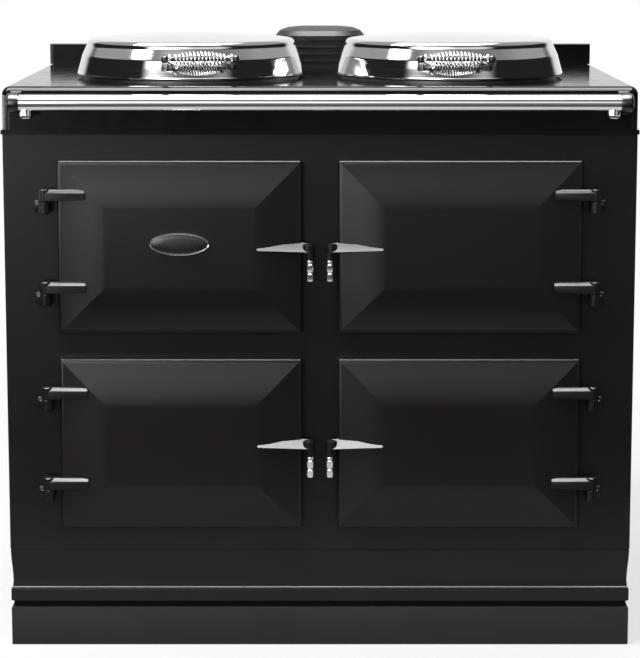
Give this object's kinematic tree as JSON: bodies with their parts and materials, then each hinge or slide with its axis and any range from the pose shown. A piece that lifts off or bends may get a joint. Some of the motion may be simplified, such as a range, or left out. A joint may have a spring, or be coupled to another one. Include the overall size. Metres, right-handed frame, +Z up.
{
  "type": "cast iron range cooker",
  "caption": "Heat-storage cast iron range cooker with hinged pillow-faced oven doors, domed insulated hotplate lids with coil handles, a front handrail and a vent outlet.",
  "frame": {"origin": "on the floor under the centre of the outline", "axes": "+X to the viewer's right along the width, -Y out of the doors' faces towards the viewer, +Z up"},
  "size_m": [0.99, 0.7, 0.967],
  "materials": {
    "front_enamel": "satin black vitreous enamel",
    "top_enamel": "gloss black vitreous enamel",
    "matt_black": "matt black textured paint",
    "dark_steel": "black paint",
    "polished_steel": "polished and lightly brushed",
    "chrome": "bright chrome",
    "bright_steel": "bright turned steel",
    "cast_iron": "bare cast iron",
    "zinc_sheet": "zinc plated sheet",
    "element_sheath": "heat-tinted sheath",
    "mineral_wool": "mineral wool",
    "lid_filling": "wool in a thin metal pan",
    "black_plastic": "moulded",
    "pale_plastic": "moulded",
    "plated_wire": "nickel plated"
  },
  "bodies": {
    "cooker": {"plinth": "matt_black", "levelling_feet": "bright_steel", "base_frame": "dark_steel", "base_moulding": "front_enamel", "front_casing": "front_enamel", "left_side_panel": "front_enamel", "right_side_panel": "front_enamel", "back_panel": "zinc_sheet", "top_plate": "top_enamel", "rear_upstand": "top_enamel", "vent_body": "dark_steel", "vent_cap": "dark_steel", "vent_duct": "zinc_sheet", "handrail": "chrome", "rail_brackets": "dark_steel", "rail_ferrules": "chrome", "boiling_plate": "cast_iron", "simmering_plate": "cast_iron", "hotplate_elements": "element_sheath", "lid_hinge_brackets": "dark_steel", "lid_hinge_pins": "bright_steel", "roasting_oven": "cast_iron", "simmering_oven": "cast_iron", "baking_oven": "cast_iron", "oven_elements": "element_sheath", "insulation": "mineral_wool", "control_tray": "zinc_sheet", "thermostats": "pale_plastic", "terminal_box": "zinc_sheet", "cable_gland": "black_plastic", "door_hinge_brackets": "front_enamel", "door_hinge_pins": "bright_steel", "door_catches": "front_enamel"},
    "control_door": {"control_door_casting": "front_enamel", "control_door_pan": "zinc_sheet", "control_door_handle": "bright_steel", "control_door_badge": "chrome"},
    "roasting_door": {"roasting_door_casting": "front_enamel", "roasting_door_pan": "zinc_sheet", "roasting_door_handle": "bright_steel"},
    "baking_door": {"baking_door_casting": "front_enamel", "baking_door_pan": "zinc_sheet", "baking_door_handle": "bright_steel"},
    "simmering_door": {"simmering_door_casting": "front_enamel", "simmering_door_pan": "zinc_sheet", "simmering_door_handle": "bright_steel"},
    "left_lid": {"left_lid_shell": "polished_steel", "left_lid_liner": "lid_filling", "left_lid_coil": "chrome", "left_lid_handle_frame": "dark_steel"},
    "right_lid": {"right_lid_shell": "polished_steel", "right_lid_liner": "lid_filling", "right_lid_coil": "chrome", "right_lid_handle_frame": "dark_steel"},
    "temperature_dial": {"temperature_knob": "black_plastic"},
    "timer_dial": {"timer_knob": "black_plastic"},
    "power_dial": {"power_knob": "black_plastic"},
    "roasting_rack": {"roasting_shelf": "plated_wire"},
    "simmering_rack": {"simmering_shelf": "plated_wire"},
    "baking_rack": {"baking_shelf": "plated_wire"}
  },
  "joints": [
    {"name": "control_door_hinge", "type": "hinge", "parent": "cooker", "child": "control_door", "pos_m": [-0.4275, -0.304, 0.6455], "axis": [0, 0, -1], "range_deg": [0, 165]},
    {"name": "roasting_door_hinge", "type": "hinge", "parent": "cooker", "child": "roasting_door", "pos_m": [0.4275, -0.304, 0.6455], "axis": [0, 0, 1], "range_deg": [0, 165]},
    {"name": "baking_door_hinge", "type": "hinge", "parent": "cooker", "child": "baking_door", "pos_m": [-0.4275, -0.304, 0.3335], "axis": [0, 0, -1], "range_deg": [0, 165]},
    {"name": "simmering_door_hinge", "type": "hinge", "parent": "cooker", "child": "simmering_door", "pos_m": [0.4275, -0.304, 0.3335], "axis": [0, 0, 1], "range_deg": [0, 165]},
    {"name": "left_lid_hinge", "type": "hinge", "parent": "cooker", "child": "left_lid", "pos_m": [-0.212, 0.157, 0.923], "axis": [-1, 0, 0], "range_deg": [0, 95]},
    {"name": "right_lid_hinge", "type": "hinge", "parent": "cooker", "child": "right_lid", "pos_m": [0.212, 0.157, 0.923], "axis": [-1, 0, 0], "range_deg": [0, 95]},
    {"name": "temperature_dial_turn", "type": "hinge", "parent": "cooker", "child": "temperature_dial", "pos_m": [-0.313, -0.2225, 0.6455], "axis": [0, -1, 0], "range_deg": [0, 270]},
    {"name": "timer_dial_turn", "type": "hinge", "parent": "cooker", "child": "timer_dial", "pos_m": [-0.218, -0.2225, 0.6455], "axis": [0, -1, 0], "range_deg": [0, 270]},
    {"name": "power_dial_turn", "type": "hinge", "parent": "cooker", "child": "power_dial", "pos_m": [-0.123, -0.2225, 0.6455], "axis": [0, -1, 0], "range_deg": [0, 270]},
    {"name": "roasting_rack_slide", "type": "slide", "parent": "cooker", "child": "roasting_rack", "axis": [0, -1, 0], "range_m": [0, 0.03]},
    {"name": "simmering_rack_slide", "type": "slide", "parent": "cooker", "child": "simmering_rack", "axis": [0, -1, 0], "range_m": [0, 0.03]},
    {"name": "baking_rack_slide", "type": "slide", "parent": "cooker", "child": "baking_rack", "axis": [0, -1, 0], "range_m": [0, 0.03]}
  ]
}
